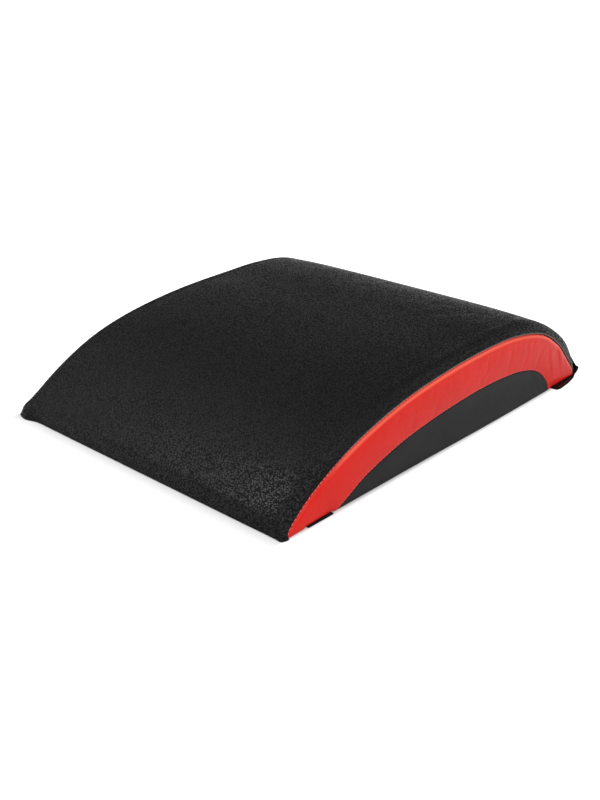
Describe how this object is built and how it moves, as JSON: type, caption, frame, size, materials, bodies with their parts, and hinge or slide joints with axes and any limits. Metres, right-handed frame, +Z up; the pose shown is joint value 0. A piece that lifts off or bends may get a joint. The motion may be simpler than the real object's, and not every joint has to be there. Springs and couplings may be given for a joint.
{
  "type": "ab mat",
  "caption": "Arched foam exercise mat in a black leatherette cover with red side bands, closed by a hinged flap under its rear edge.",
  "frame": {"origin": "middle of the footprint, on the surface that the mat lies on", "axes": "+Z up, -Y towards the thin front lip, +Y towards the steep rear with the flap, +X to the right"},
  "size_m": [0.3172, 0.4039, 0.08],
  "materials": {
    "foam": "moulded closed-cell foam",
    "grained_black": "pebbled leatherette, satin",
    "smooth_black": "smooth leatherette, satin",
    "red_leatherette": "smooth leatherette, satin",
    "base_fabric": "dotted non-slip fabric",
    "grip_rubber": "matt",
    "fastening_tape": "hook and loop pile",
    "red_thread": "twisted polyester thread",
    "black_thread": "twisted polyester thread"
  },
  "bodies": {
    "mat": {"foam_core": "foam", "top_cover": "grained_black", "red_band_right": "red_leatherette", "red_band_left": "red_leatherette", "side_crescent_right": "smooth_black", "side_crescent_left": "smooth_black", "base_panel": "base_fabric", "front_grip_strip": "grip_rubber", "rear_hem": "smooth_black", "base_loop_tape": "fastening_tape", "top_seam_thread_right": "red_thread", "top_seam_thread_left": "red_thread", "crescent_seam_thread_right": "red_thread", "crescent_seam_thread_left": "red_thread"},
    "flap": {"closure_flap": "smooth_black", "flap_hook_tape": "fastening_tape", "flap_hem_thread_right": "black_thread", "flap_hem_thread_left": "black_thread"}
  },
  "joints": [
    {"name": "flap_fold", "type": "hinge", "parent": "mat", "child": "flap", "pos_m": [0, 0.193, 0.0005], "axis": [1, 0, 0], "range_deg": [0, 180]}
  ]
}
